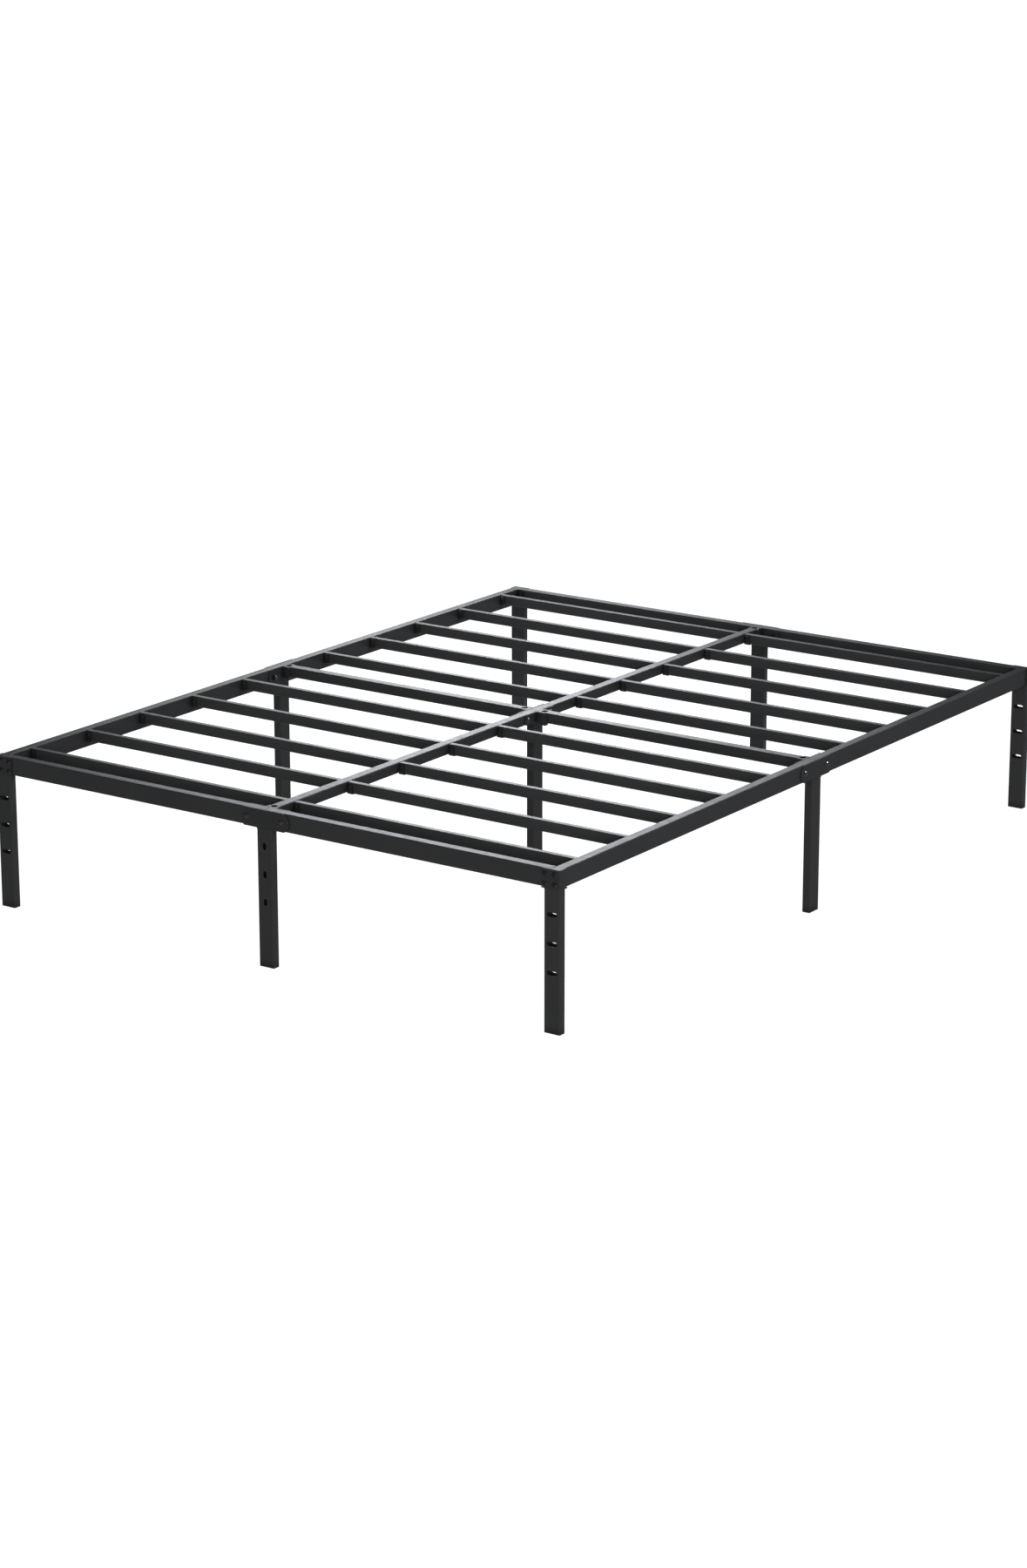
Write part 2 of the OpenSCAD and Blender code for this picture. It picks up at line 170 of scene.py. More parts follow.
def mesh_from_rings(name, points, slot):
    """One mesh from copies of a ringed surface: points is copies by rings by around by 3."""
    copies, rings, around, _ = points.shape
    quads, fans = ring_faces(rings, around)
    middles = np.stack([points[:, 0].mean(1), points[:, -1].mean(1)], 1)
    co = np.concatenate([points.reshape(copies, -1, 3), middles], 1)
    shift = (np.arange(copies) * co.shape[1])[:, None, None]
    quads = (quads[None] + shift).reshape(-1, 4)
    fans = (fans[None] + shift).reshape(-1, 3)
    return new_piece(name, co.reshape(-1, 3), quads.tolist() + fans.tolist(), slot)


def sharp_above(piece, degrees):
    """Keeps the edges sharper than the angle crisp while the rest shades smoothly."""
    piece.data.set_sharp_from_angle(angle=math.radians(degrees))


# %% [markdown]
# ## Placing a fastener
#
# A fastener is drawn once with the seat of its head on z = 0 and its shank along +z. Where
# each copy goes is read from the boxes: the axis is the box's long side (the short one for a
# nut), and the head is on the outside of the bed, on top of a tie bolt, and in front on a
# clip screw.

# %% Seats and axes of the fasteners
NEAR_MIDDLE = 0.1  # metres; a bolt this close to the middle has its head on the plus side


def axis_frames(axis):
    """Two unit vectors square to each axis, so that u, v and axis are right-handed."""
    helper = np.where(np.abs(axis[:, 2:3]) > 0.5, [[1.0, 0, 0]], [[0, 0, 1.0]])
    u = np.cross(helper, axis)
    return u, np.cross(axis, u)


def seats(boxes, head_height, heads_point=None):
    """Seat point and shank direction of each screw in its box.

    The head end is the side of the box away from the middle of the bed, unless heads_point
    gives the side; the seat lies one head height inside that end."""
    middle = boxes.mean(1)
    axis = np.eye(3)[np.argmax(boxes[:, 1] - boxes[:, 0], 1)]
    if heads_point is None:
        place_along = np.sum(middle * axis, 1, keepdims=True)
        outward = np.where(np.abs(place_along) < NEAR_MIDDLE, 1, np.sign(place_along))
    else:
        outward = np.full((len(boxes), 1), float(heads_point))
    half = np.sum((boxes[:, 1] - boxes[:, 0]) * axis, 1, keepdims=True) / 2
    return middle + axis * outward * (half - head_height), -axis * outward


def place(shape, seat, direction):
    """Copies of a shape (rings by around by 3): seat + x u + y v + z direction."""
    u, v = axis_frames(direction)
    base = np.stack([u, v, direction], 1)
    return seat[:, None, None] + np.einsum("rak,nkd->nrad", shape, base)


# %% [markdown]
# ## Frame bolts
#
# The bolts that hold the frame are low button heads, at the corners and ties with a hexagon
# socket, and on the middle heads with a smooth dome. Their highlight depends on two roundings
# that a plain dome lacks: the soft rim where the dome meets the seat and the small chamfer
# round the socket. The surface is one sweep of rings from the middle of the socket floor, up
# its six walls, over the chamfer and the dome, round the rim, and down the shank to the rolled
# thread at the end.

# %% Button-head bolt
AROUND = 48
THETA = np.linspace(0, 2 * math.pi, AROUND, endpoint=False)
SOCKET_FLOOR = 0.42    # height of the socket's floor over the height of the head
SOCKET_MOUTH = 0.62    # radius of the chamfer round the socket over the size of the key
SOCKET_CHAMFER = 0.35 * MM  # depth of that chamfer
PLAIN_MIDDLE = 0.3 * MM     # radius of the first ring on a dome without a socket
RIM = 0.45 * MM        # rounding where the dome meets the seat
SHANK_END = 0.40       # radius of the shank's end over its diameter
THREAD_STEPS = 7       # rings to each turn of the thread


def ring(r, z):
    """Radius and height of one ring of a turned shape, each a number or one value per angle."""
    return r + 0 * THETA, z + 0 * THETA


def turned(rows):
    """Points of a turned shape: x = r cos(theta), y = r sin(theta), z = height."""
    r, z = (np.array([row[i] for row in rows]) for i in (0, 1))
    return np.stack([r * np.cos(THETA), r * np.sin(THETA), z], -1)


def hexagon(theta, apothem):
    """Distance from the middle to the side of a hexagon in direction theta:
    the apothem over the cosine of the angle to the nearest side's middle."""
    return apothem / np.cos((theta + math.pi / 6) % (math.pi / 3) - math.pi / 6)


def thread(theta, z, radius, pitch):
    """Radius of a rolled thread: the crest less a ridge depth times a rounded triangle
    wave of the turn number z / pitch - theta / full turn."""
    turn = z / pitch - theta / (2 * math.pi)
    wave = np.abs(2 * (turn % 1) - 1)
    return radius - 0.6 * pitch * (1 - wave) ** 1.4


def button_bolt(d, length, head_d, head_h, key, pitch, threaded):
    """Rings of a bolt, head seat on z = 0 and shank along +z.

    The dome is the arc of a circle over the head's width: its height at radius r is
    head_h - R + sqrt(R^2 - r^2), with R = (head_h^2 + (head_d / 2)^2) / (2 head_h). The rim
    is a quarter turn: its radius grows with the sine and its height falls with the cosine.
    A key of zero leaves the dome without a socket. Heights are measured up from the seat
    and turned over at the end."""
    big = (head_h ** 2 + head_d ** 2 / 4) / (2 * head_h)
    dome = lambda r: head_h - big + np.sqrt(np.maximum(big ** 2 - r ** 2, 0))
    rows = []
    if key:
        six, floor_z = hexagon(THETA, key / 2), SOCKET_FLOOR * head_h
        rows = [ring(0.5 * six, floor_z), ring(six, floor_z),
                ring(six, dome(six) - SOCKET_CHAMFER)]
    mouth = SOCKET_MOUTH * key if key else PLAIN_MIDDLE
    crown = head_d / 2 - RIM
    rows += [ring(r, dome(r)) for r in np.linspace(mouth, crown, 11)]
    rows += [ring(crown + RIM * math.sin(a), dome(crown) * (0.35 + 0.65 * math.cos(a)))
             for a in np.linspace(0, math.pi / 2, 5)[1:]]
    start = threaded - length
    rows += [ring(head_d / 2, 0), ring(d / 2, 0), ring(d / 2, start)]
    rows += [ring(thread(THETA, z, d / 2, pitch), start - z)
             for z in np.arange(0, threaded - 0.5 * MM, pitch / THREAD_STEPS)[1:]]
    rows.append(ring(SHANK_END * d, -length))
    return turned(rows) * (1, 1, -1)


BOLT = dict(d=8 * MM, head_d=14 * MM, head_h=4.4 * MM, pitch=1.25 * MM)


def bolt_set(node, heads_point=None, key=5 * MM, threaded=3.2 * MM):
    """All the bolts of a node in one mesh, each as long as its own box."""
    boxes = solids[node]
    seat, direction = seats(boxes, BOLT["head_h"], heads_point)
    lengths = np.max(boxes[:, 1] - boxes[:, 0], 1) - BOLT["head_h"]
    shapes = [place(button_bolt(length=l, key=key, threaded=threaded, **BOLT), seat[i:i + 1],
                    direction[i:i + 1]) for i, l in enumerate(lengths)]
    name = node.replace("_bolts", "_bolt_set")
    piece = mesh_from_rings(name, np.concatenate(shapes), "fastener")
    sharp_above(piece, 40)
    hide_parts(node)
    return piece


bolts = [bolt_set("corner_bolts"), bolt_set("head_bolts", key=0),
         bolt_set("tie_bolts", heads_point=1)]

# %% [markdown]
# ## Hexagon nuts
#
# A nut is a hexagon prism whose corners are turned off by a cone, which gives the curved
# chamfer lines on its flats. Along a ray at the angle theta the side of the prism is at the
# hexagon's radius; where that radius passes the washer face's circle, the height drops by the
# tangent of thirty degrees. The rings run from the bore over one face, down the flats and
# back to the bore along the other face.

# %% Nut with turned corners
NUT_FLATS = 13 * MM
NUT_BORE = 4.05 * MM
LEAD_IN = 0.6 * MM   # chamfer at the mouth of the bore
WASHER_FACE = 0.47   # radius of the flat washer face over the width across the flats


def hex_nut(flats, height, bore):
    """Rings of a nut standing on z = 0 along +z; both faces have the turned corners.

    The hexagon is turned by thirty degrees, so that a nut on a level bolt has a flat on top.
    The rings of one half are mirrored for the other: height becomes full height - height."""
    six = hexagon(THETA + math.pi / 6, flats / 2)
    washer = WASHER_FACE * flats
    drop = np.maximum(six - washer, 0) * math.tan(math.radians(30))
    half = [(bore, 0.5 * height), (bore, LEAD_IN), (bore + LEAD_IN, 0), (washer, 0), (six, drop)]
    return turned([ring(r, z) for r, z in half + [(r, height - z) for r, z in half[::-1]]])


boxes = solids["nuts"]
size = boxes[:, 1] - boxes[:, 0]
nut_axis = np.eye(3)[np.argmin(size, 1)]
nut_height = size.min()
nut_points = place(hex_nut(NUT_FLATS, nut_height, NUT_BORE),
                   boxes.mean(1) - nut_axis * nut_height / 2, nut_axis)
nut_set = mesh_from_rings("nut_set", nut_points, "fastener")
sharp_above(nut_set, 25)
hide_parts("nuts")

# %% [markdown]
# ## Clip screws
#
# Each slat is held by a pan-head screw with a cross recess through the front cheek of the
# clip. The head is a height over the disc: a dome less the recess. The recess is a cross of
# two grooves whose depth fades from the middle outwards, and a smooth step gives the grooves
# their sloping walls, so one formula draws the head with no cutting.

# %% Pan-head screw with cross recess
def smooth_step(x):
    """Zero below 0, one above 1, and 3 x^2 - 2 x^3 between them."""
    x = np.clip(x, 0, 1)
    return x * x * (3 - 2 * x)


def cross_screw(d, length, head_d, head_h):
    """Rings of a pan-head screw, seat on z = 0, head towards -z, shank along +z.

    The dome falls with the power 3.2 of the radius to a quarter of its height at the rim. The
    recess takes away 0.62 of the height where the smaller of |x| and |y| is under 0.22 mm, by
    walls 0.5 mm wide, and it fades out between 0.9 and 2.2 mm from the middle."""
    radius = np.linspace(0.12, 1, 14)[:, None] * head_d / 2
    x, y = radius * np.cos(THETA), radius * np.sin(THETA)
    dome = head_h * (1 - (radius / (head_d / 2)) ** 3.2 * 0.75) + 0 * THETA
    arm = np.minimum(np.abs(x), np.abs(y))
    wall = 1 - smooth_step((arm - 0.22 * MM) / (0.5 * MM))
    fade = 1 - smooth_step((radius - 0.9 * MM) / (1.3 * MM))
    head = np.stack([x, y, 0.62 * head_h * wall * fade - dome], -1)
    shank = turned([ring(head_d / 2, 0), ring(d / 2, 0), ring(d / 2, length - 0.4 * MM),
                    ring(0.3 * d, length)])
    return np.concatenate([head, shank])


SCREW_D = 4 * MM
SCREW_HEAD_D = 8 * MM
SCREW_HEAD = 2.4 * MM
boxes = solids["clip_screws"]
seat, direction = seats(boxes, SCREW_HEAD, heads_point=-1)
screw_length = (boxes[:, 1] - boxes[:, 0])[:, 1].mean() - SCREW_HEAD
screw_points = place(cross_screw(SCREW_D, screw_length, SCREW_HEAD_D, SCREW_HEAD),
                     seat, direction)
screw_set = mesh_from_rings("clip_screw_set", screw_points, "fastener")
sharp_above(screw_set, 50)
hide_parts("clip_screws")

# %% [markdown]
# ## Weld beads
#
# The heads are welded to the leg tubes along the underside of the seat. A bead is a fillet
# that follows the tube's outline, with the small even ripples that the torch leaves. The
# profile (a bulging triangle in the corner between tube and seat) is carried along the path,
# and its size swells and shrinks by a few percent along the way. Where the tube is flush with
# the head there is no room for a bead, so a corner leg has it on two sides, a middle leg on
# three, and the centre leg all round.

# %% Path round a leg
PATH_STEP = 0.5 * MM


def rounded_path(corners, radius, closed):
    """Points and outward normals along a polyline with round corners.

    The corners are (x, y) with the outside on the right of the way; every corner between two
    stretches is replaced by an arc of the given radius, then the line is resampled evenly."""
    pts = [np.array(c, float) for c in corners]
    count = len(pts)
    line = []
    for i, p in enumerate(pts):
        if not closed and i in (0, count - 1):
            line.append(p[None])
            continue
        a, b = pts[i - 1], pts[(i + 1) % count]
        ua, ub = (a - p) / np.linalg.norm(a - p), (b - p) / np.linalg.norm(b - p)
        centre = p + (ua + ub) * radius
        t = np.linspace(0, math.pi / 2, 9)[:, None]
        line.append(centre - ub * radius * np.cos(t) - ua * radius * np.sin(t))
    line = np.concatenate(line + ([line[0][:1]] if closed else []))
    run = np.concatenate([[0], np.cumsum(np.linalg.norm(np.diff(line, axis=0), axis=1))])
    s = np.linspace(0, run[-1], int(run[-1] / PATH_STEP) + 1)
    path = np.stack([np.interp(s, run, line[:, k]) for k in (0, 1)], -1)
    along = np.gradient(path, axis=0)
    along /= np.linalg.norm(along, axis=1, keepdims=True)
    return s, path, np.stack([along[:, 1], -along[:, 0]], -1)


# %% Profile of a bead
BEAD_LEG = 2.2 * MM     # size of the fillet
RIPPLE = 2.2 * MM       # step from ripple to ripple
DIE_AWAY = 2.5 * MM     # how far from an open end the bead reaches its full size
LEG_CORNER = 3 * MM
BEAD_ROOM = 2 * MM      # a wall of the leg at least this far inside the head gets a bead


def waves(s, lengths, seed):
    """Sum of sines along s with the given wavelengths in millimetres and random phases."""
    rng = np.random.default_rng(seed)
    return sum(np.sin(2 * math.pi * s / (w * MM) + rng.uniform(0, 6)) for w in lengths)


def weld_bead(s, path, normal, z, closed, seed):
    """Rings along a path: a bulging quarter profile between the leg's wall and the seat.

    The size at the distance s is leg (1 + 0.10 sin(2 pi s / ripple) + slow swell), and at an
    open end it dies away as the square root of the distance from the end."""
    size = BEAD_LEG * (1 + 0.10 * np.sin(2 * math.pi * s / RIPPLE)
                       + 0.05 * waves(s, (17, 29), seed))
    if not closed:
        end = np.minimum(s, s[-1] - s) / DIE_AWAY
        size = size * np.sqrt(np.clip(end, 0.02, 1))
    t = np.linspace(0, math.pi / 2, 7)
    bulge = 0.86 + 0.10 * np.sin(2 * t)
    out = np.append(np.cos(t) ** 1.25 * bulge, -0.15)
    down = np.append(np.sin(t) ** 1.25 * bulge, -0.15)
    points = path[:, None] + normal[:, None] * (size[:, None] * out)[..., None]
    height = z - size[:, None] * down
    return np.concatenate([points, height[..., None]], -1)


def leg_bead(leg_node, head_node, seed):
    """Bead of one leg, from the leg's box and the head's underside.

    The corners go round the leg from the front left, so wall i runs from corner i to i + 1."""
    a, b = (np.array(c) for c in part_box(leg_node))
    seat_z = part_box(head_node)[0].z
    head_lo, head_hi = (np.array(c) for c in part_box(head_node))
    corners = [(a[0], a[1]), (b[0], a[1]), (b[0], b[1]), (a[0], b[1])]
    room = (a[1] - head_lo[1], head_hi[0] - b[0], head_hi[1] - b[1], a[0] - head_lo[0])
    walls = [r > BEAD_ROOM for r in room]
    closed = all(walls)
    if not closed:
        first = next(i for i in range(4) if walls[i] and not walls[i - 1])
        corners = [corners[(first + i) % 4] for i in range(sum(walls) + 1)]
    s, path, normal = rounded_path(corners, LEG_CORNER, closed)
    return weld_bead(s, path, normal, seat_z, closed, seed)


# %% [markdown]
# ## Dressed welds
#
# On the outer face of a middle head the folded sheet rolls inwards just above the leg, and the
# two are joined by a weld that is ground level with the face. Filled paint could be faked by a
# bump, but a real hollow would then still show from below. So the weld is a bar of metal in the
# hollow, with a face that waves very slightly, as grinding leaves it.

# %% Dressed weld under a folded edge
FOLD = 3 * MM           # outer radius of the fold over the hollow
FLUSH_WIDTH = 35 * MM


def flush_bead(head_node, out, sign, seed):
    """Weld that fills the hollow under a folded bottom edge, dressed level with the leg's face.

    The hollow lies between the leg's top and the round of the fold. The face looks along the
    axis out (0 or 1) with the given sign. The section is a small square whose outer wall lies
    0.1 mm inside the face and waves by 0.05 mm along the weld, as dressed metal does."""
    low, high = (np.array(c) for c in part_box(head_node))
    run = np.linspace(-FLUSH_WIDTH / 2, FLUSH_WIDTH / 2, 61)
    wall = (0.10 + 0.05 * waves(run, (5.5, 9, 14), seed) / 3) * MM
    root = np.full_like(run, FOLD + 0.2 * MM)
    inward = np.stack([root, root, wall, wall, wall + 0.3 * MM], -1)
    height = np.array([0.5 * FOLD, -0.3 * MM, -0.3 * MM, FOLD - 0.5 * MM, FOLD])
    rings = np.empty(inward.shape + (3,))
    rings[..., 1 - out] = ((low + high)[1 - out] / 2 + run)[:, None]
    rings[..., out] = (high if sign > 0 else low)[out] - sign * inward
    rings[..., 2] = low[2] + height
    return rings if (sign > 0) == (out == 1) else rings[:, ::-1]


# %% One mesh of all the beads
def strip_mesh(name, beads, slot):
    """One mesh from several beads, each a tube of rings with its ends closed."""
    co, faces, base = [], [], 0
    for rings in beads:
        n, around, _ = rings.shape
        quads, fans = ring_faces(n, around)
        middles = np.stack([rings[0].mean(0), rings[-1].mean(0)])
        co.append(np.concatenate([rings.reshape(-1, 3), middles]))
        faces += (quads + base).tolist() + (fans + base).tolist()
        base += len(co[-1])
    return new_piece(name, np.concatenate(co), faces, slot)


places = ["front_left", "front_right", "back_left", "back_right", "front_middle",
          "back_middle", "left_middle", "right_middle", "centre"]
beads = [leg_bead("leg_" + p, "head_" + p, i) for i, p in enumerate(places)]
FLUSH_FACES = {"front": (1, -1), "back": (1, 1), "left": (0, -1), "right": (0, 1)}
beads += [flush_bead(f"head_{side}_middle", out, sign, i)
          for i, (side, (out, sign)) in enumerate(FLUSH_FACES.items())]
leg_welds = strip_mesh("leg_weld_beads", beads, "head_paint")

# %% [markdown]
# ## Powder coat
#
# Powder paint melts into a thin even skin. Seen close it has a faint orange peel about a
# millimetre across; seen from afar its gloss and its black are not perfectly even. So the
# material has three layers of noise: a fine one for the bump, a middle one for the roughness
# and a broad one for the colour. They are read from Object coordinates in metres, because
# every piece lies at the origin and the pattern then runs on from piece to piece. In corners
# and inside tubes, where less light reaches, the colour is darkened as painted shade.

# %% Helpers for node materials
def new_material(name):
    """An empty node material with its shader and output in place."""
    mat = bpy.data.materials.new(name)
    mat.use_nodes = True
    tree = mat.node_tree
    return mat, tree, tree.nodes["Principled BSDF"]


def add_node(tree, kind, values=(), links=()):
    """A shader node; values and links are dictionaries from an input to what it gets."""
    node = tree.nodes.new("ShaderNode" + kind)
    for key, value in dict(values).items():
        node.inputs[key].default_value = value
    for key, socket in dict(links).items():
        tree.links.new(socket, node.inputs[key])
    return node


def noise(tree, scale, detail=2.0, rough=0.5):
    """A noise pattern on Object coordinates; the scale is in waves per metre."""
    where = add_node(tree, "TexCoord").outputs["Object"]
    return add_node(tree, "TexNoise", {"Scale": scale, "Detail": detail, "Roughness": rough},
                    {"Vector": where}).outputs["Fac"]


NOISE_LOW, NOISE_HIGH = 0.3, 0.7  # nearly all of a noise lies between these values


def spread(tree, value, low, high):
    """Stretches a noise value to the range low to high."""
    return add_node(tree, "MapRange", {"From Min": NOISE_LOW, "From Max": NOISE_HIGH,
                                       "To Min": low, "To Max": high},
                    {"Value": value}).outputs["Result"]


def two_tone(tree, value, dark, light):
    """Colour between two near tones, driven by a noise value."""
    node = add_node(tree, "ValToRGB", links={"Fac": value})
    for stop, place, colour in zip(node.color_ramp.elements, (NOISE_LOW, NOISE_HIGH),
                                   (dark, light)):
        stop.position = place
        stop.color = (*colour, 1)
    return node.outputs["Color"]


def bump(tree, value, strength, height):
    """A bump of the given height in metres."""
    return add_node(tree, "Bump", {"Strength": strength, "Distance": height},
                    {"Height": value}).outputs["Normal"]


def grey(level, tint=(1.0, 1.0, 1.0)):
    """A tinted grey from its linear level."""
    return tuple(level * t for t in tint)


def painted_recess_shade(tree, colour, reach):
    """Painted shade: darkens a colour in corners and inside tubes, where less light reaches. It
    is multiplied by the share of the directions above the point that are free of other surfaces
    within the reach."""
    node = add_node(tree, "AmbientOcclusion", {"Distance": reach}, {"Color": colour})
    node.samples = 8
    return node.outputs["Color"]


# %% Powder coat material
SATIN = (0.45, 0.51)
ORANGE_PEEL = 0.12 * MM
PAINT_GLOSS = 0.3
PAINT_TINT = (0.98, 0.99, 1.02)


def powder_coat(name, level):
    """Black within eight percent of its level in clouds of 14 cm, satin in clouds of 2 cm, and
    an orange peel with waves of 1.5 mm."""
    mat, tree, shader = new_material(name)
    colour = two_tone(tree, noise(tree, 7, 3), grey(level * 0.93, PAINT_TINT),
                      grey(level * 1.08, PAINT_TINT))
    # painted shade: the coat's colour darkens in corners and inside tubes within 20 mm
    tree.links.new(painted_recess_shade(tree, colour, 20 * MM), shader.inputs["Base Color"])
    tree.links.new(spread(tree, noise(tree, 45, 3), *SATIN), shader.inputs["Roughness"])
    tree.links.new(bump(tree, noise(tree, 650, 2, 0.6), 0.22, ORANGE_PEEL),
                   shader.inputs["Normal"])
    shader.inputs["Specular IOR Level"].default_value = PAINT_GLOSS
    return mat


LEVELS = {"frame": 0.021, "slat": 0.0265, "leg": 0.0218, "head": 0.019}
coat = {f"{part}_paint": powder_coat(f"{part}_powder_coat", level)
        for part, level in LEVELS.items()}
print("powder coats:", *coat)

# %% [markdown]
# ## Blackened fasteners and moulded caps
#
# The bolts are steel under a thin black oxide: metallic, darker than bare steel, smoother than
# the paint, with fine turning marks, and their colour is darkened in sockets and crevices as
# painted shade. The smooth domes on the middle heads have a thinner, brighter oxide, so each one
# carries a clear spark of light. The caps under the legs are moulded plastic with a spark-eroded
# grain.

# %% Fastener and plastic materials
WARM = (1, 0.99, 0.97)


def black_oxide(name, dark, light, rough):
    """Metal between two dark greys in clouds of 6 mm, with turning marks of 0.7 mm."""
    mat, tree, shader = new_material(name)
    colour = two_tone(tree, noise(tree, 160, 3), grey(dark), grey(light, WARM))
    # painted shade: the metal's colour darkens in sockets and under heads within 6 mm
    tree.links.new(painted_recess_shade(tree, colour, 6 * MM), shader.inputs["Base Color"])
    shader.inputs["Metallic"].default_value = 0.85
    tree.links.new(spread(tree, noise(tree, 400, 2), *rough), shader.inputs["Roughness"])
    tree.links.new(bump(tree, noise(tree, 1500, 2), 0.12, 0.05 * MM), shader.inputs["Normal"])
    return mat


def moulded_plastic(name):
    """Dull black with a grain of 0.9 mm."""
    mat, tree, shader = new_material(name)
    colour = two_tone(tree, noise(tree, 30, 2), grey(0.010), grey(0.014))
    tree.links.new(colour, shader.inputs["Base Color"])
    tree.links.new(spread(tree, noise(tree, 90, 2), 0.46, 0.58), shader.inputs["Roughness"])
    tree.links.new(bump(tree, noise(tree, 1100, 3, 0.7), 0.35, 0.08 * MM),
                   shader.inputs["Normal"])
    return mat


coat["fastener"] = black_oxide("black_oxide_steel", 0.055, 0.085, (0.17, 0.23))
coat["dome"] = black_oxide("thin_black_oxide_steel", 0.085, 0.11, (0.20, 0.26))
coat["cap_plastic"] = moulded_plastic("black_moulded_plastic")
print("finishes:", len(coat))

# %% [markdown]
# ## Giving out the finishes
#
# The construction names a material slot for every node, so the finishes could be set by hand,
# node by node, or looked up. Here they are looked up by slot. Only the smooth domes differ from
# the rest of their slot.

# %% Put every finish on its pieces
slot_of = {part["node"]: part["material_slot"] for part in frame["record"]["subparts"]}
for name, node in nodes.items():
    node.data.materials.clear()
    node.data.materials.append(coat[slot_of[name]])
for piece in bolts + [nut_set, screw_set, leg_welds]:
    smooth = piece.name.startswith("head_bolt")
    piece.data.materials.append(coat["dome" if smooth else piece["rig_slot"]])
print("finished nodes:", len(nodes))

# %% [markdown]
# ## Studio
#
# The frame stands on a plain pale floor in front of a white backdrop. The camera and anything
# seen through glass show both as white. The light that falls on the bed comes from a dim even
# sky, a soft panel overhead, a broad fill from beside the camera, and two panels close behind
# the bed. A small bright panel high on the right only puts sparks on the bolts. The two behind
# make the satin tops shine near the middle and fall off towards the outer corners. For that
# they need dark surroundings, so a mirror ray that meets neither panel nor floor sees the
# backdrop dimmed, as if black cards stood beside the panels.
#
# The floor could be a white plane under strong light, but that light would also wash out the
# black paint. So it glows for the camera alone, and to the bed it is a plain light grey.

# %% Floor
LIT_SHARE = 0.45     # how much light the floor throws back on the bed
SHADOW_SHARE = 0.25  # how strongly the camera sees the bed's shadow
GLOW = 0.94
FLOOR_HALF = 40.0


def floor_material():
    """White for the camera with a trace of the bed's shadow: a strong plain glow and a weak
    lit share, together just over white where nothing stands in the way."""
    mat, tree, shader = new_material("studio_floor")
    tree.nodes.remove(shader)
    lit = add_node(tree, "BsdfDiffuse", {"Color": (*grey(LIT_SHARE), 1)})
    weak = add_node(tree, "BsdfDiffuse", {"Color": (*grey(SHADOW_SHARE), 1)})
    glow = add_node(tree, "Emission", {"Strength": GLOW})
    seen = add_node(tree, "AddShader", links={0: weak.outputs[0], 1: glow.outputs[0]})
    by_camera = add_node(tree, "LightPath").outputs["Is Camera Ray"]
    mix = add_node(tree, "MixShader",
                   links={"Fac": by_camera, 1: lit.outputs[0], 2: seen.outputs[0]})
    tree.links.new(mix.outputs[0], tree.nodes["Material Output"].inputs["Surface"])
    return mat


def plain_floor(half, cells=8):
    """A flat grid: x and y run evenly from -half to half, z is zero."""
    a = np.linspace(-half, half, cells + 1)
    x, y = np.meshgrid(a, a)
    co = np.stack([x, y, 0 * x], -1).reshape(-1, 3)
    i, j = np.meshgrid(np.arange(cells), np.arange(cells), indexing="ij")
    k = (i * (cells + 1) + j).ravel()
    mesh = bpy.data.meshes.new("studio_floor")
    faces = np.stack([k, k + 1, k + cells + 2, k + cells + 1], -1)
    mesh.from_pydata(co, [], faces.tolist())
    mesh.materials.append(floor_material())
    obj = bpy.data.objects.new("studio_floor", mesh)
    bpy.context.scene.collection.objects.link(obj)
    return obj


floor = plain_floor(FLOOR_HALF)
print("floor across, in metres:", 2 * FLOOR_HALF)

# %% [markdown]
# ## Backdrop and sky
#
# One world serves three kinds of ray. Rays from the camera, also through glass, find plain
# white. Rays that leave a dull surface find a dim, slightly cool sky, the even light of a white
# room. Mirror rays find the dimmed backdrop. A mix for each kind is enough, so no dome or
# painted sky is needed.

# %% World
world = bpy.data.worlds.new("studio")
bpy.context.scene.world = world
world.use_nodes = True
sky = world.node_tree
sky.nodes.clear()


def backdrop(colour, strength):
    """An even background of one colour and strength."""
    values = {"Color": (*colour, 1), "Strength": strength}
    return add_node(sky, "Background", values).outputs[0]


white = backdrop(grey(1.0), 1.0)
dim = backdrop((0.55, 0.56, 0.58), 0.5)
mirror = backdrop(grey(0.8), 0.08)
ray = add_node(sky, "LightPath").outputs
direct = add_node(sky, "Math", links={0: ray["Is Camera Ray"], 1: ray["Is Transmission Ray"]})
direct.operation = "MAXIMUM"
bounced = add_node(sky, "MixShader", links={"Fac": ray["Is Glossy Ray"], 1: dim, 2: mirror})
found = add_node(sky, "MixShader", links={"Fac": direct.outputs[0], 1: bounced.outputs[0],
                                          2: white})
add_node(sky, "OutputWorld", links={"Surface": found.outputs[0]})
print("sky nodes:", len(sky.nodes))

# %% [markdown]
# ## Lamps
#
# Area lamps give the soft edges of studio panels. The two behind the bed are placed by a bearing
# and a distance, since they have to stand opposite the camera for the tops to shine. The
# overhead and fill panels are hidden from mirror rays, so that they light the paint and leave
# no bright patch on it, and the side panel is hidden from dull surfaces, so that it adds
# sparks to the bolts and no light to the floor.

# %% Lamps
def panel(name, place, aim, size, radiance, tint=(1, 1, 1)):
    """A soft panel of the given width and height. Its power is pi times its area times the
    radiance, so that the number says how bright it looks, with 1 for plain white."""
    lamp = bpy.data.lights.new(name, "AREA")
    lamp.shape = "RECTANGLE"
    lamp.size, lamp.size_y = size
    lamp.energy = math.pi * size[0] * size[1] * radiance
    lamp.color = tint
    obj = bpy.data.objects.new(name, lamp)
    bpy.context.scene.collection.objects.link(obj)
    obj.location = place
    obj.rotation_mode = "QUATERNION"
    obj.rotation_quaternion = (Vector(aim) - Vector(place)).to_track_quat("-Z", "Y")
    print(f"{name}: {lamp.energy:.1f} W")
    return obj


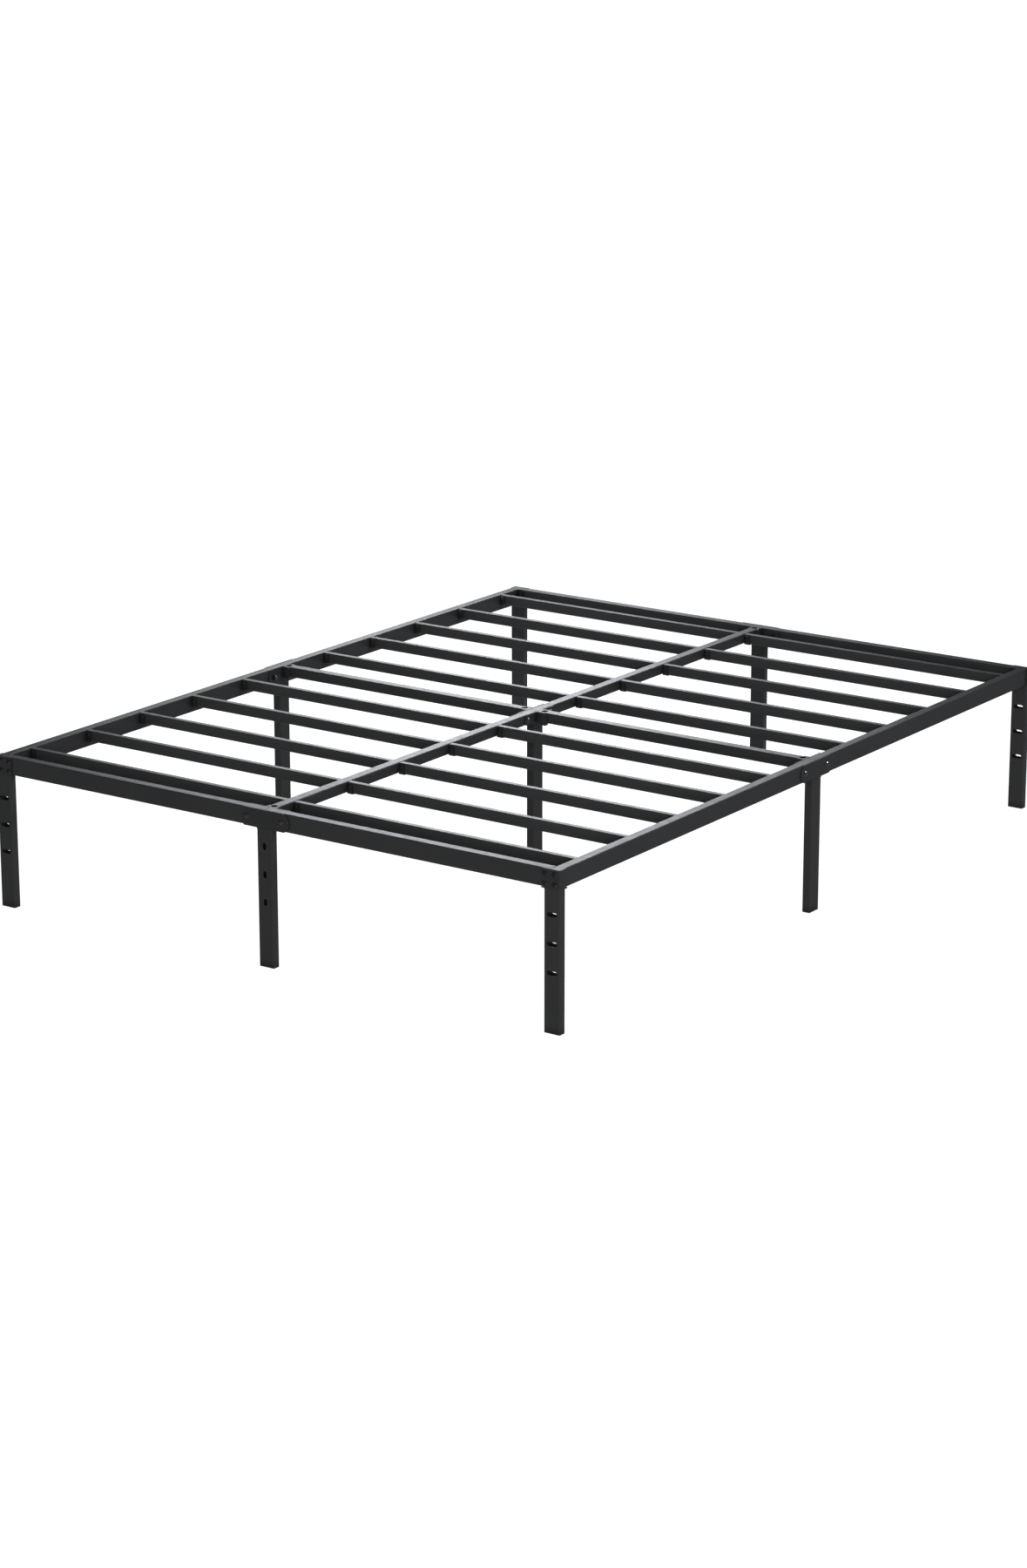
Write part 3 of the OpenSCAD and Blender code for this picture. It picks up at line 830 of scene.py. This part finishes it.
def behind(bearing, distance, height):
    """A point beyond the bed: the bearing is in degrees from the back towards the left."""
    a = math.radians(bearing)
    return (-math.sin(a) * distance, math.cos(a) * distance, height)


TOP = (0, 0, hi[2])
BED_MIDDLE = (0, 0, 0.3)
RIGHT_HEAD = (0.77, 0, 0.33)
COOL = (0.972, 0.99, 1.035)
COOLER = (0.93, 0.98, 1.07)
panel("rear_panel", behind(39.2, 1.75, 1.45), TOP, (2.1, 0.75), 6.4, COOL)
panel("rear_strip", behind(38.15, 2.08, 1.10), TOP, (1.03, 0.13), 35, COOL)
spark = panel("side_panel", (4.35, 2.0, 4.47), RIGHT_HEAD, (0.6, 0.6), 460, COOLER)
spark.visible_diffuse = False
for soft in (panel("overhead_panel", (0.6, -0.4, 4.2), BED_MIDDLE, (4.0, 4.0), 0.25),
             panel("fill_panel", (6.5, -7.5, 2.0), BED_MIDDLE, (6.0, 4.0), 12.2)):
    soft.visible_glossy = False

# %% [markdown]
# ## Camera
#
# The view is from the front right at about standing height, sixteen degrees down, with a
# fairly long lens so that the legs stay nearly upright. The camera is built from three unit
# vectors: forward, right and up, the last two turned by a trace of roll about the first.

# %% Camera
BEARING = math.radians(35.0604)
TILT = math.radians(16.0154)
ROLL = math.radians(-0.0604)
camera = bpy.data.cameras.new("camera")
camera.lens = 89.2213
camera.sensor_width = 36
camera.sensor_fit = "AUTO"
camera.clip_end = 200
view = bpy.data.objects.new("camera", camera)
bpy.context.scene.collection.objects.link(view)
view.location = (5.02006, -7.24046, 2.70194)
forward = Vector((-math.sin(BEARING) * math.cos(TILT), math.cos(BEARING) * math.cos(TILT),
                  -math.sin(TILT)))
level = Vector((math.cos(BEARING), math.sin(BEARING), 0))
rise = level.cross(forward)
right = math.cos(ROLL) * level + math.sin(ROLL) * rise
upward = math.cos(ROLL) * rise - math.sin(ROLL) * level
view.rotation_mode = "QUATERNION"
view.rotation_quaternion = Matrix((right, upward, -forward)).transposed().to_quaternion()
bpy.context.scene.camera = view
bpy.context.scene.view_settings.view_transform = "Standard"
print("lens in millimetres:", round(camera.lens, 2))
